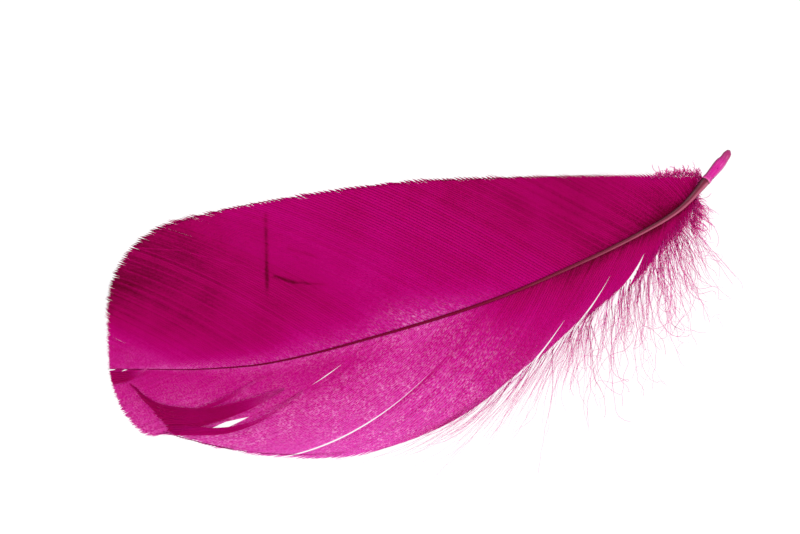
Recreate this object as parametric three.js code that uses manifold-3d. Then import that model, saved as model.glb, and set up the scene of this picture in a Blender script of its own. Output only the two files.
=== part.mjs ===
// A goose shoulder feather that lies with its inner side up: the shaft, its two vanes and the
// down at its base, grown as one piece. Plan coordinates are millimetres along the chord from
// the vane's tip (x = 0) to the quill's end; y is positive on the wide vane's side.
import * as THREE from "three";
import { mergeVertices } from "three/addons/utils/BufferGeometryUtils.js";
import Module from "manifold-3d";

const wasm = await Module();
wasm.setup();

const featherLength = 150;

// The middle of the feather's footprint, in plan: the part's origin, on the surface it lies on.
const originX = 74.8;
const originY = -15.3;

// How the feather bows: flat in the middle of its back, lifted at tip, quill and vane edges.
const bellyFrom = 30;
const bellyTo = 100;
const bellyHalfWidth = 12;
const tipLift = 4;
const quillLift = 9.5;
const edgeLift = 4.5;
const edgeReach = 24;
const lengthwisePower = 1.7;
const crosswisePower = 1.5;

// The vanes: thickness at the shaft and at the edge, and the locks that their barbs cling into.
const rootThickness = 0.7;
const edgeThickness = 0.5;
const lockStep = 5.2;
const grooveDepth = 0.26;
const lockNotch = 0.8;
const deepestNotch = 0.2;
const undersideGroove = 0.5;
const barbSteps = 8;
const rootOverlap = 0.15;

// The shaft in plan, and its radius along the chord, with the rim where the bare quill starts.
const shaftPlan = [
  [0, 0.2],
  [9, -3.1],
  [20, -6.8],
  [35, -10.6],
  [57, -12.8],
  [88, -14.1],
  [112, -12.7],
  [128, -10.5],
  [136, -8.4],
  [143.9, -3.9],
  [featherLength, 0],
];
const shaftRadius = [
  [0, 0.3],
  [43, 0.32],
  [74, 0.4],
  [105, 0.54],
  [125, 0.72],
  [136, 0.98],
  [142.8, 1.05],
  [143.7, 1.16],
  [144.4, 1.06],
  [146.4, 1.26],
  [147.6, 1.12],
  [148.6, 0.94],
  [149.4, 0.72],
  [149.9, 0.3],
];
const shaftSides = 8;
const shaftStep = 7;
const shaftClearance = 0.04;
const quillFrom = 139;
const quillStep = 0.545;

// Barbs in plan, from tip to quill: the x of the root on the shaft, the point that the barb
// bends round, and its end on the vane's outline.
const narrowVaneBarbs = [
  [4, 2.2, -1, -0.1, -0.9],
  [13.5, 6, -4.8, -0.5, -5],
  [27, 13, -11.2, 0.2, -11.2],
  [43, 20, -17.4, 3, -16.8],
  [61.3, 33, -22, 8.8, -19.2],
  [72, 43, -29, 18, -25.6],
  [87.6, 57, -36, 30.5, -32.2],
  [98, 71, -39.5, 47, -37.6],
  [107, 84.5, -38.5, 66, -37.4],
  [116.1, 101, -26.5, 88.5, -32.8],
  [121.6, 114.5, -20.5, 101, -28.6],
  [128.4, 122.5, -19.5, 113.5, -24.6],
  [132.7, 127.8, -18, 121.5, -22.4],
  [137, 135.5, -14.5, 131.5, -18.6],
  [139.5, 140, -10, 138.6, -13.2],
];
const wideVaneBarbs = [
  [4, 2.5, 0, 0.3, 0.9],
  [13.5, 8, 1.8, 2.2, 7.7],
  [27, 15, 6.5, 5.2, 15.4],
  [43, 26, 11, 10.6, 22.4],
  [58.5, 37.5, 14.5, 20, 27],
  [73.5, 50, 14, 31, 26.8],
  [90.5, 69, 10, 52.5, 23.6],
  [105, 87.5, 7.5, 74, 19.4],
  [115, 101.5, 3, 88.4, 15.5],
  [125, 115, 0.5, 106, 10],
  [133, 128, -1, 122.5, 4.4],
  [138.5, 138.5, -4.2, 136.5, -0.2],
  [141.5, 143, -3.6, 142, -2],
];

// Where the narrow vane has come apart along its barbs: the root that a slit follows, and how
// wide it gapes at each share of the barb's length.
const slits = [
  { root: 61.3, gape: [[0.12, 0], [0.25, 0.3], [0.38, 0], [0.62, 0], [0.76, 1.3], [0.9, 0], [1, 0]] },
  { root: 87.6, gape: [[0.25, 0], [0.5, 0.3], [0.75, 0.4], [1, 0.3]] },
  { root: 116.1, gape: [[0.25, 0], [0.6, 0.5], [1, 1.4]] },
  { root: 121.6, gape: [[0.37, 0], [0.65, 0.4], [1, 0.9]] },
  { root: 128.4, gape: [[0.25, 0], [0.6, 1], [1, 2.2]] },
  { root: 132.7, gape: [[0.37, 0], [0.7, 0.5], [1, 1.2]] },
];
const slitFade = 5;

// Locks that have slipped over their neighbours on the narrow vane. Each spreads from one edge
// to the other; an edge has a start, a point that it bends round and an end.
const slippedLocks = [
  { edges: [[36.2, -17.6, 22.5, -20.9, 8.8, -19.1], [36.5, -17, 20.5, -20.8, 4.4, -7]], columns: 5 },
  { edges: [[30.6, -13.8, 16.5, -23.9, 4.4, -7.2], [31, -13.2, 16.9, -22.7, 3.3, -3.8]], columns: 2 },
  { edges: [[40.2, -19.5, 27.8, -26, 9, -19.3], [40.5, -18.9, 27, -24.3, 9.5, -16.5]], columns: 2 },
  { edges: [[9.5, -3.9, 4, -3.7, 0.1, -2.8], [9.5, -3.3, 3.9, -1.6, 0.4, -0.8]], columns: 2 },
];
const slippedSteps = 6;
const slippedThickness = 0.4;
const slippedRise = 0.72;
const startRise = 0.4;
const risePerShare = 2;

// The down: locks that leave the narrow vane's edge, from the quill towards the tip. Each row
// holds a lock's place in that order, its start, the point that it bends round and its tip.
const downLocks = [
  [0, 138.4, -11.5, 141, -14, 142, -18],
  [3, 135.5, -14, 141, -20, 144, -27],
  [6, 132, -16.5, 137, -27, 138, -38],
  [9, 127.5, -18.5, 130.5, -31, 125, -46],
  [12, 120.5, -20.8, 118, -34, 112, -46.5],
  [15, 112, -23.5, 106, -35, 98, -48],
  [18, 101, -27.2, 95, -37, 87, -46.5],
  [21, 87, -32, 81, -38, 72, -46.5],
  [24, 73, -35.6, 66, -40, 55, -43],
];
const downCount = 25;
const downPerRow = 3;
const shortDown = 0.68;
const longestWisp = [110, -24.2, 103, -38, 84.3, -58];

// The shape of a lock of down: it starts thin and broad, and its height and lift grow outwards.
const downHalfWidth = 1.7;
const downHalfHeight = 0.42;
const downTip = 0.12;
const downSteps = 5;
const downTaper = 0.5;
const rootHeight = 0.2;
const heightPerShare = 2.4;
const mostDownLift = 0.6;

const featherColor = 0xcc2490;
const samePlace = 1e-4;

// Smooth values at a place in a table whose rows start with the place.
function between(rows, at) {
  const last = rows.length - 1;
  let i = 0;
  while (i < last - 1 && at > rows[i + 1][0]) i += 1;
  const a = rows[i];
  const b = rows[i + 1];
  const before = rows[Math.max(i - 1, 0)];
  const after = rows[Math.min(i + 2, last)];
  const span = b[0] - a[0];
  const u = THREE.MathUtils.clamp((at - a[0]) / span, 0, 1);
  return a.slice(1).map((value, j) => {
    const leave = ((b[j + 1] - before[j + 1]) / (b[0] - before[0])) * span;
    const arrive = ((after[j + 1] - value) / (after[0] - a[0])) * span;
    const rise = b[j + 1] - value;
    const bend = leave + arrive - 2 * rise;
    return value + u * (leave + u * (3 * rise - 2 * leave - arrive + u * bend));
  });
}

// Straight values, for what must not overshoot.
function stepped(rows, at) {
  const i = Math.max(1, rows.findIndex((row) => row[0] >= at));
  const [a, b] = [rows[i - 1], rows[i]];
  return THREE.MathUtils.mapLinear(THREE.MathUtils.clamp(at, a[0], b[0]), a[0], b[0], a[1], b[1]);
}

// A point on the curve that bends from one end to the other round a third point.
function bent(x0, y0, x1, y1, x2, y2, t) {
  const curve = new THREE.QuadraticBezierCurve(
    new THREE.Vector2(x0, y0),
    new THREE.Vector2(x1, y1),
    new THREE.Vector2(x2, y2),
  );
  return { point: curve.getPoint(t), along: curve.getTangent(t) };
}

// How high the feather's back stands above the surface at a point in plan.
function lift(x, y) {
  const tipward = Math.max(0, bellyFrom - x) / bellyFrom;
  const quillward = Math.max(0, x - bellyTo) / (featherLength - bellyTo);
  const aside = Math.abs(y - between(shaftPlan, x)[0]);
  const edgeward = Math.max(0, aside - bellyHalfWidth) / edgeReach;
  const lengthwise = tipLift * tipward ** lengthwisePower + quillLift * quillward ** lengthwisePower;
  return lengthwise + edgeLift * edgeward ** crosswisePower;
}

// A closed solid from a list of triangles, each with its three points in turn.
function solidOf(triangles) {
  const geometry = new THREE.BufferGeometry().setFromPoints(triangles.flat());
  const merged = mergeVertices(geometry, samePlace);
  return new wasm.Manifold(
    new wasm.Mesh({
      numProp: 3,
      vertProperties: new Float32Array(merged.attributes.position.array),
      triVerts: new Uint32Array(merged.index.array),
    }),
  );
}

function quad(a, b, c, d) {
  return [
    [a, b, c],
    [a, c, d],
  ];
}

// A thin closed sheet over columns of points. Each column runs from the root outwards and has a
// top and an underside. Where two columns lie in different panels, the sheet is open between
// them, but for the rows where they still touch.
function sheet(columns) {
  const rows = columns[0].top.length;
  const faces = [];
  const wall = (a, b, r) => faces.push(...quad(a.top[r], a.under[r], b.under[r], b.top[r]));
  const side = (column, r) => quad(column.top[r], column.under[r], column.under[r + 1], column.top[r + 1]);
  const back = (column, r) => quad(column.top[r + 1], column.under[r + 1], column.under[r], column.top[r]);
  for (let c = 0; c < columns.length; c += 1) {
    const a = columns[c];
    const b = columns[c + 1];
    const joined = b && a.panel === b.panel;
    for (let r = 0; r < rows - 1; r += 1) {
      if (joined) {
        faces.push(...quad(a.top[r], b.top[r], b.top[r + 1], a.top[r + 1]));
        faces.push(...quad(a.under[r], a.under[r + 1], b.under[r + 1], b.under[r]));
        continue;
      }
      const touching = (k) => b && a.top[k].distanceTo(b.top[k]) < samePlace;
      if (touching(r) && touching(r + 1)) continue;
      faces.push(...side(a, r));
      if (b) faces.push(...back(b, r));
    }
    if (c === 0) for (let r = 0; r < rows - 1; r += 1) faces.push(...back(a, r));
    if (joined) {
      wall(a, b, 0);
      wall(b, a, rows - 1);
    }
  }
  return faces;
}

// The columns of one vane: every lock has a groove and a crest, and a slit ends a panel.
function vaneColumns(barbs, openings, turn) {
  const first = barbs[0][0];
  const last = barbs[barbs.length - 1][0];
  const panelEnds = [first, ...openings.map((slit) => slit.root), last];
  const columns = [];
  for (let panel = 0; panel < panelEnds.length - 1; panel += 1) {
    const from = panelEnds[panel];
    const width = panelEnds[panel + 1] - from;
    const locks = Math.max(1, Math.round(width / lockStep));
    for (let lock = 0; lock < locks; lock += 1) {
      for (const share of [0, 0.5]) {
        const root = from + (width * (lock + share)) / locks;
        columns.push(vaneColumn(barbs, openings, turn, panel, root, share > 0));
      }
    }
    columns.push(vaneColumn(barbs, openings, turn, panel, from + width, false));
  }
  return columns;
}

// One column of a vane, along the barb that starts at a root.
function vaneColumn(barbs, openings, turn, panel, root, crest) {
  const [rootY] = between(shaftPlan, root);
  const [bendX, bendY, endX, endY] = between(barbs, root);
  const length = Math.hypot(endX - root, endY - rootY);
  const reach = crest ? 1 : 1 - Math.min(deepestNotch, lockNotch / length);
  const column = { panel, top: [], under: [] };
  for (let step = 0; step <= barbSteps; step += 1) {
    const share = step / barbSteps;
    const { point, along } = bent(root, rootY, bendX, bendY, endX, endY, share * reach);
    const quillward = new THREE.Vector2(-along.y, along.x).multiplyScalar(turn);
    openings.forEach((slit, k) => {
      const near = Math.max(0, 1 - Math.abs(root - slit.root) / slitFade);
      const half = (stepped(slit.gape, share) * near) / 2;
      point.addScaledVector(quillward, panel > k ? half : -half);
    });
    if (step === 0) point.y += turn * rootOverlap;
    const base = lift(point.x, point.y);
    const thickness = THREE.MathUtils.lerp(rootThickness, edgeThickness, share);
    const groove = crest || step === 0 ? 0 : grooveDepth;
    const hollow = groove * undersideGroove * Math.min(1, base);
    column.top.push(new THREE.Vector3(point.x, point.y, base + thickness - groove));
    column.under.push(new THREE.Vector3(point.x, point.y, base + hollow));
  }
  return column;
}

// A slipped lock: a sheet that leaves the vane and comes to lie on top of it.
function slippedLock({ edges, columns: count }) {
  const columns = [];
  for (let c = 0; c <= count; c += 1) {
    const route = edges[0].map((value, j) => THREE.MathUtils.lerp(value, edges[1][j], c / count));
    const column = { panel: 0, top: [], under: [] };
    for (let step = 0; step <= slippedSteps; step += 1) {
      const share = step / slippedSteps;
      const { point } = bent(...route, share);
      const base = lift(point.x, point.y) + slippedRise * Math.min(1, startRise + risePerShare * share);
      column.top.push(new THREE.Vector3(point.x, point.y, base + slippedThickness));
      column.under.push(new THREE.Vector3(point.x, point.y, base));
    }
    columns.push(column);
  }
  return sheet(columns);
}

// A closed skin over rings of points, each ring seen anticlockwise from the far end.
function loft(rings) {
  const faces = [];
  const count = rings[0].length;
  for (let i = 0; i < rings.length - 1; i += 1) {
    for (let j = 0; j < count; j += 1) {
      const next = (j + 1) % count;
      faces.push(...quad(rings[i][j], rings[i][next], rings[i + 1][next], rings[i + 1][j]));
    }
  }
  for (let j = 1; j < count - 1; j += 1) {
    const start = rings[0];
    const end = rings[rings.length - 1];
    faces.push([start[0], start[j + 1], start[j]]);
    faces.push([end[0], end[j], end[j + 1]]);
  }
  return faces;
}

// A ring across a path that is seen in plan, heading along a direction.
function ring(center, along, halfWidth, halfHeight, sides) {
  const across = new THREE.Vector3(-along.y, along.x, 0).normalize();
  return Array.from({ length: sides }, (_, j) => {
    const angle = (2 * Math.PI * (j + 0.5)) / sides;
    return center
      .clone()
      .addScaledVector(across, halfWidth * Math.cos(angle))
      .add(new THREE.Vector3(0, 0, halfHeight * Math.sin(angle)));
  });
}

// The shaft stands proud of the vanes on this side, and its back is level with theirs.
function shaft() {
  const stations = [];
  for (let x = 0; x < quillFrom; x += shaftStep) stations.push(x);
  for (let x = quillFrom; x < featherLength; x += quillStep) stations.push(x);
  const rings = stations.map((x) => {
    const [y] = between(shaftPlan, x);
    const slope = between(shaftPlan, x + 0.5)[0] - between(shaftPlan, x - 0.5)[0];
    const radius = stepped(shaftRadius, x);
    const height = lift(x, y) + Math.max(rootThickness, radius + shaftClearance);
    return ring(new THREE.Vector3(x, y, height), new THREE.Vector2(1, slope), radius, radius, shaftSides);
  });
  return loft(rings);
}

// A lock of down: flat and broad where it leaves the vane, drawn out to a thin tip.
function downLock(route, halfWidth) {
  const rings = [];
  for (let step = 0; step <= downSteps; step += 1) {
    const share = step / downSteps;
    const { point, along } = bent(...route, share);
    const narrow = Math.sqrt(1 - share * share) * (1 - downTaper * share);
    const thick = Math.min(1, rootHeight + heightPerShare * share) * narrow;
    const rise = downHalfHeight * Math.min(mostDownLift, share);
    const height = lift(point.x, point.y) + edgeThickness / 2 + rise;
    const center = new THREE.Vector3(point.x, point.y, height);
    rings.push(ring(center, along, downTip + halfWidth * narrow, downTip + downHalfHeight * thick, 4));
  }
  return loft(rings);
}

function down() {
  const locks = [downLock(longestWisp, downHalfWidth / 2)];
  for (let i = 0; i < downCount; i += 1) {
    const route = between(downLocks, i);
    if (i % downPerRow !== 0) {
      const short = i % downPerRow === 1 ? shortDown : (1 + shortDown) / 2;
      for (const j of [0, 1]) {
        route[2 + j] = THREE.MathUtils.lerp(route[j], route[2 + j], short);
        route[4 + j] = THREE.MathUtils.lerp(route[j], route[4 + j], short);
      }
    }
    locks.push(downLock(route, downHalfWidth));
  }
  return locks;
}

// The triangles of the largest skin, without those of pockets shut in between the locks.
function outerSkin(corners, pointCount) {
  const skin = Array.from({ length: pointCount }, (_, i) => i);
  const find = (i) => {
    while (skin[i] !== i) i = skin[i] = skin[skin[i]];
    return i;
  };
  for (let i = 0; i < corners.length; i += 3) {
    skin[find(corners[i])] = find(corners[i + 1]);
    skin[find(corners[i + 1])] = find(corners[i + 2]);
  }
  const sizes = new Map();
  for (const corner of corners) sizes.set(find(corner), (sizes.get(find(corner)) ?? 0) + 1);
  const largest = [...sizes].sort((a, b) => b[1] - a[1])[0][0];
  return Array.from(corners).filter((corner) => find(corner) === largest);
}

const pieces = [
  shaft(),
  sheet(vaneColumns(narrowVaneBarbs, slits, 1).reverse()),
  sheet(vaneColumns(wideVaneBarbs, [], -1)),
  ...slippedLocks.map(slippedLock),
  ...down(),
];
const grown = pieces.map(solidOf).reduce((whole, piece) => whole.add(piece));
const { vertProperties, triVerts } = grown.getMesh();
const geometry = new THREE.BufferGeometry();
geometry.setAttribute("position", new THREE.BufferAttribute(vertProperties, 3));
geometry.setIndex(outerSkin(triVerts, vertProperties.length / 3));

const feather = new THREE.Mesh(
  geometry,
  new THREE.MeshStandardMaterial({ color: featherColor, roughness: 0.6, metalness: 0 }),
);
feather.name = "feather";
feather.position.set(-originX, -originY, 0);

const part = new THREE.Group();
part.add(feather);
export default part;
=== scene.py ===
import math
import random

import bmesh
import bpy
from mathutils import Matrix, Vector, noise


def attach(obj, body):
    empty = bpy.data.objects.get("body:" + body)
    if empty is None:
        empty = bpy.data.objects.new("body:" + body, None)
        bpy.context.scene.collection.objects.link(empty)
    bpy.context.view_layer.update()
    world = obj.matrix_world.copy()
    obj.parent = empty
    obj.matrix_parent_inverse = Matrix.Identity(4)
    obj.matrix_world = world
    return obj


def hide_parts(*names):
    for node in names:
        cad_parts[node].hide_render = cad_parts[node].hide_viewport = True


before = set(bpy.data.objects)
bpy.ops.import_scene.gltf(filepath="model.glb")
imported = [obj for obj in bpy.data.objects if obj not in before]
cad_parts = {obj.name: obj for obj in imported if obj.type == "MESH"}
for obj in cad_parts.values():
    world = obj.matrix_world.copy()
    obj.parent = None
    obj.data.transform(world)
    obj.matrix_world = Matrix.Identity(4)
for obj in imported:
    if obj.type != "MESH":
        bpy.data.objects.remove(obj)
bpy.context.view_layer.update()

# Plan places below are millimetres on the feather: x runs along the chord from the vane's tip
# (0) to the quill's end (150), y is positive on the wide vane's side. The frame's origin is the
# middle of the footprint.
plan = {"originX": 74.8, "originY": -15.3, "length": 150.0, "metresPerMm": 0.001}

# How the feather bows, as its solid does: level in the middle, lifted at tip, quill and edges.
bow = {
    "bellyFrom": 30.0, "bellyTo": 100.0, "bellyHalfWidth": 12.0, "tipLift": 4.0, "quillLift": 9.5,
    "edgeLift": 4.5, "edgeReach": 24.0, "lengthwisePower": 1.7, "crosswisePower": 1.5,
}

# Where the shaft runs in plan.
shaftPlan = [
    (0, 0.2), (9, -3.1), (20, -7.0), (35, -10.85), (57, -13.05), (88, -14.25),
    (112, -12.7), (128, -10.5), (136, -8.4), (143.9, -3.9), (150, 0),
]


def between(rows, at):
    # smooth values at a place in a table whose rows start with the place
    last = len(rows) - 1
    i = 0
    while i < last - 1 and at > rows[i + 1][0]:
        i += 1
    a, b = rows[i], rows[i + 1]
    before, after = rows[max(i - 1, 0)], rows[min(i + 2, last)]
    span = b[0] - a[0]
    u = min(max((at - a[0]) / span, 0.0), 1.0)
    values = []
    for j in range(1, len(a)):
        leave = (b[j] - before[j]) / (b[0] - before[0]) * span
        arrive = (after[j] - a[j]) / (after[0] - a[0]) * span
        rise = b[j] - a[j]
        curve = 3 * rise - 2 * leave - arrive + u * (leave + arrive - 2 * rise)
        values.append(a[j] + u * (leave + u * curve))
    return values


def straight(rows, at):
    # the same without any overshoot
    if at <= rows[0][0]:
        return list(rows[0][1:])
    for a, b in zip(rows, rows[1:]):
        if at <= b[0]:
            u = (at - a[0]) / (b[0] - a[0])
            return [p + (q - p) * u for p, q in zip(a[1:], b[1:])]
    return list(rows[-1][1:])


def mix(a, b, share):
    return a + (b - a) * share


def smoothStep(low, high, value):
    t = min(max((value - low) / (high - low), 0.0), 1.0)
    return t * t * (3 - 2 * t)


def shaftY(x):
    return between(shaftPlan, x)[0]


def lift(x, y):
    # height of the feather's back above the surface
    tipward = max(0.0, bow["bellyFrom"] - x) / bow["bellyFrom"]
    quillward = max(0.0, x - bow["bellyTo"]) / (plan["length"] - bow["bellyTo"])
    edgeward = max(0.0, abs(y - shaftY(x)) - bow["bellyHalfWidth"]) / bow["edgeReach"]
    return (
        bow["tipLift"] * tipward ** bow["lengthwisePower"]
        + bow["quillLift"] * quillward ** bow["lengthwisePower"]
        + bow["edgeLift"] * edgeward ** bow["crosswisePower"]
    )


def toFrame(x, y, z):
    scale = plan["metresPerMm"]
    return Vector(((x - plan["originX"]) * scale, (y - plan["originY"]) * scale, z * scale))


def bent(route, t):
    # a point on the curve from one end to the other round a third point
    x0, y0, x1, y1, x2, y2 = route
    a, b, c = (1 - t) ** 2, 2 * t * (1 - t), t * t
    return a * x0 + b * x1 + c * x2, a * y0 + b * y1 + c * y2


def newObject(name, data):
    made = bpy.data.objects.new(name, data)
    bpy.context.scene.collection.objects.link(made)
    return made


# Camera: straight above, turned as in the picture, which is 183 mm wide at the feather.
print("camera and light")
shot = {
    "middle": (-0.0040, 0.0153), "height": 0.6, "turnDegrees": -19.40,
    "viewWidth": 0.183, "sensor": 36.0, "featherHeight": 0.004,
}
cameraData = bpy.data.cameras.new("camera")
cameraData.sensor_width = shot["sensor"]
cameraDistance = shot["height"] - shot["featherHeight"]
cameraData.lens = shot["sensor"] * cameraDistance / shot["viewWidth"]
camera = newObject("camera", cameraData)
camera.location = (*shot["middle"], shot["height"])
camera.rotation_euler = (0, 0, math.radians(shot["turnDegrees"]))
bpy.context.scene.camera = camera
bpy.context.scene.view_settings.view_transform = "Standard"


class Output:
    # a node's output, which sums take as if it were a number or a vector
    def __init__(self, tree, socket):
        self.tree, self.socket = tree, socket

    @property
    def isVector(self):
        return self.socket.type in ("VECTOR", "RGBA")

    def reckon(self, operation, *others, output=0):
        kind = "ShaderNodeVectorMath" if self.isVector else "ShaderNodeMath"
        return read(self.tree, kind, dict(enumerate((self, *others))), output, operation=operation)

    def __add__(self, other):
        return self.reckon("ADD", other)

    def __sub__(self, other):
        return self.reckon("SUBTRACT", other)

    def __mul__(self, other):
        if self.isVector and not isinstance(other, tuple):
            return read(self.tree, "ShaderNodeVectorMath", {0: self, "Scale": other}, operation="SCALE")
        return self.reckon("MULTIPLY", other)

    def __truediv__(self, other):
        return self.reckon("DIVIDE", other)

    def __pow__(self, other):
        return self.reckon("POWER", other)

    def __abs__(self):
        return self.reckon("ABSOLUTE")


def addNode(tree, kind, inputs=None, **settings):
    # a node with its settings and inputs; an input is a plain value or another node's output
    node = tree.nodes.new(kind)
    for name, value in settings.items():
        setattr(node, name, value)
    for name, value in (inputs or {}).items():
        if isinstance(value, Output):
            tree.links.new(value.socket, node.inputs[name])
        else:
            node.inputs[name].default_value = value
    return node


def read(tree, kind, inputs=None, output=0, **settings):
    return Output(tree, addNode(tree, kind, inputs, **settings).outputs[output])


def alter(geometry, kind, inputs=None, output=0, **settings):
    # a geometry node that takes this geometry first
    return read(geometry.tree, "GeometryNode" + kind, {0: geometry, **(inputs or {})}, output, **settings)


def combine(*parts):
    tree = next(part.tree for part in parts if isinstance(part, Output))
    return read(tree, "ShaderNodeCombineXYZ", dict(enumerate(parts)))


def split(vector):
    node = addNode(vector.tree, "ShaderNodeSeparateXYZ", {0: vector})
    return [Output(vector.tree, socket) for socket in node.outputs]


def remap(value, fromLow, fromHigh, toLow=0.0, toHigh=1.0, kind="SMOOTHSTEP"):
    inputs = {"Value": value, "From Min": fromLow, "From Max": fromHigh, "To Min": toLow, "To Max": toHigh}
    return read(value.tree, "ShaderNodeMapRange", inputs, "Result", interpolation_type=kind)


def mixValue(factor, a, b):
    return read(factor.tree, "ShaderNodeMix", {0: factor, 2: a, 3: b})


def mixColor(factor, a, b):
    return read(factor.tree, "ShaderNodeMix", {0: factor, 6: a, 7: b}, 2, data_type="RGBA")


def noiseAt(place, scale, detail, output="Fac"):
    inputs = {"Vector": place, "Scale": scale, "Detail": detail}
    return read(place.tree, "ShaderNodeTexNoise", inputs, output)


def gamma(color, power):
    return read(color.tree, "ShaderNodeGamma", {0: color, 1: power})


def linear(red, green, blue):
    # a colour given as 0 to 255, as a shader takes it
    def one(value):
        c = value / 255
        return c / 12.92 if c <= 0.04045 else ((c + 0.055) / 1.055) ** 2.4
    return (one(red), one(green), one(blue), 1.0)


def newShader(name):
    material = bpy.data.materials.new(name)
    material.use_nodes = True
    material.node_tree.nodes.clear()
    return material, material.node_tree


def thinSurface(tree, share, passing, coat):
    # a coat, and a share of the light that passes through in a colour of its own
    coat = read(tree, "ShaderNodeBsdfPrincipled", coat)
    through = read(tree, "ShaderNodeBsdfTranslucent", {"Color": passing})
    both = read(tree, "ShaderNodeMixShader", {0: share, 1: coat, 2: through})
    addNode(tree, "ShaderNodeOutputMaterial", {"Surface": both})


def newGroup(name, kind, inputs, outputs):
    # a node group; its inputs and outputs are lists of names by the kind of socket
    tree = bpy.data.node_groups.new(name, kind)
    for way, sockets in (("INPUT", inputs), ("OUTPUT", outputs)):
        for socketKind, labels in sockets.items():
            for label in labels:
                tree.interface.new_socket(label, in_out=way, socket_type="NodeSocket" + socketKind)
    given = tree.nodes.new("NodeGroupInput").outputs
    return tree, {socket.name: Output(tree, socket) for socket in given}


# Light: a glowing pale table below, soft lamps above, each with its place, size and watts.
lighting = {"skyStrength": 1.0, "floorGlow": 0.94, "floorShade": 0.08, "floorRoughness": 0.9, "floorHalf": 1.5}
lamps = {"keyLamp": ((0.25, -0.5, 0.6), 0.3, 4.0), "fillLamp": ((-0.5, 0.4, 0.5), 0.5, 1.6)}
white = (1.0, 1.0, 1.0, 1.0)
world = bpy.data.worlds.new("studio")
world.use_nodes = True
background = world.node_tree.nodes["Background"]
background.inputs["Color"].default_value = white
background.inputs["Strength"].default_value = lighting["skyStrength"]
bpy.context.scene.world = world
for name, (place, size, watts) in lamps.items():
    lampData = bpy.data.lights.new(name, "AREA")
    lampData.size, lampData.energy = size, watts
    lamp = newObject(name, lampData)
    lamp.location = place
    lamp.rotation_euler = (-Vector(place)).to_track_quat("-Z", "Y").to_euler()

half = lighting["floorHalf"]
floorMesh = bpy.data.meshes.new("floor")
corners = [(-half, -half, 0), (half, -half, 0), (half, half, 0), (-half, half, 0)]
floorMesh.from_pydata(corners, [], [(0, 1, 2, 3)])
floor = newObject("floor", floorMesh)
floorMaterial, floorTree = newShader("paleTable")
floorShader = read(floorTree, "ShaderNodeBsdfPrincipled", {
    "Base Color": (lighting["floorShade"],) * 3 + (1.0,),
    "Roughness": lighting["floorRoughness"],
    "Emission Color": white,
    "Emission Strength": lighting["floorGlow"],
})
addNode(floorTree, "ShaderNodeOutputMaterial", {"Surface": floorShader})
floorMesh.materials.append(floorMaterial)


def setUVs(mesh, name, uvs):
    layer = mesh.uv_layers.new(name=name)
    for i, uv in enumerate(uvs):
        layer.data[i].uv = uv


def faceOut(mesh):
    # turns the shells' faces outwards where they came out inside
    form = bmesh.new()
    form.from_mesh(mesh)
    if form.calc_volume(signed=True) < 0:
        bmesh.ops.reverse_faces(form, faces=form.faces)
    form.to_mesh(mesh)
    form.free()


def join(piece):
    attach(piece, "root")
    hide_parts("feather")
    triangles = sum(len(face.vertices) - 2 for face in piece.data.polygons)
    print(piece.name, triangles, "triangles")


# The shaft: horn that is hair thin at the tip, with a bare clear quill past the ring.
print("shaft")
shaftForm = {
    "sides": 20, "step": 0.9, "quillStep": 0.22, "quillFrom": 139.0, "end": 150.1, "vaneHeight": 0.42,
    "clearance": 0.04, "flutes": 0.022, "fluteStretch": 0.12, "fluteCount": 3, "notchAt": 148.1,
    "notchReach": 0.9, "notchDepth": 0.2, "notchTurn": 0.6,
}
# Each row: the place along the shaft and the radius there.
shaftRadius = [
    (0, 0.05), (8, 0.08), (25, 0.15), (43, 0.23), (57, 0.28), (70, 0.34), (85, 0.38), (105, 0.42), (115, 0.46),
    (122, 0.5), (128, 0.54), (133, 0.6), (137, 0.71), (140, 0.86), (141.6, 0.99), (142.5, 1.03), (142.8, 1.12),
    (143.1, 1.14), (143.4, 1.1), (143.9, 1.05), (145.1, 1.16), (146.4, 1.26), (147.4, 1.2), (148.3, 1.03),
    (149.1, 0.92), (149.6, 0.74), (149.9, 0.5), (150.05, 0.25), (150.1, 0.05),
]


def makeShaft():
    form, sides = shaftForm, shaftForm["sides"]
    stations, x = [], 0.0
    while x < form["end"]:
        stations.append(x)
        x += form["step"] if x < form["quillFrom"] else form["quillStep"]
    stations.append(form["end"])
    points, uvs = [], []
    for x in stations:
        y = shaftY(x)
        ahead = Vector((1.0, shaftY(x + 0.5) - shaftY(x - 0.5), 0.0)).normalized()
        across = Vector((-ahead.y, ahead.x, 0.0))
        radius = straight(shaftRadius, x)[0]
        height = lift(x, y) + max(form["vaneHeight"], radius + form["clearance"])
        bite = max(0.0, 1 - abs(x - form["notchAt"]) / form["notchReach"])
        for j in range(sides):
            angle = 2 * math.pi * j / sides
            around = (form["fluteCount"] * math.cos(angle), form["fluteCount"] * math.sin(angle))
            ridge = 1 + form["flutes"] * noise.noise(Vector((x * form["fluteStretch"], *around)))
            facing = max(0.0, math.cos(angle - form["notchTurn"]))
            reach = radius * ridge * (1 - form["notchDepth"] * bite * facing)
            place = across * (reach * math.cos(angle))
            points.append(toFrame(x + place.x, y + place.y, height + reach * math.sin(angle)))
            uvs.append((x / plan["length"], j / sides))
    faces, corners = [], []
    for i in range(len(stations) - 1):
        for j in range(sides):
            a, b = i * sides + j, i * sides + (j + 1) % sides
            faces.append((a, b, b + sides, a + sides))
            turn = (j + 1) / sides
            corners += [uvs[a], (uvs[a][0], turn), (uvs[a + sides][0], turn), uvs[a + sides]]
    for cap in (range(sides), range(len(points) - 1, len(points) - sides - 1, -1)):
        faces.append(tuple(cap))
        corners += [uvs[k] for k in cap]
    mesh = bpy.data.meshes.new("shaft")
    mesh.from_pydata(points, [], faces)
    setUVs(mesh, "shaftUV", corners)
    mesh.shade_smooth()
    faceOut(mesh)
    return newObject("shaft", mesh)


shaft = makeShaft()

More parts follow.
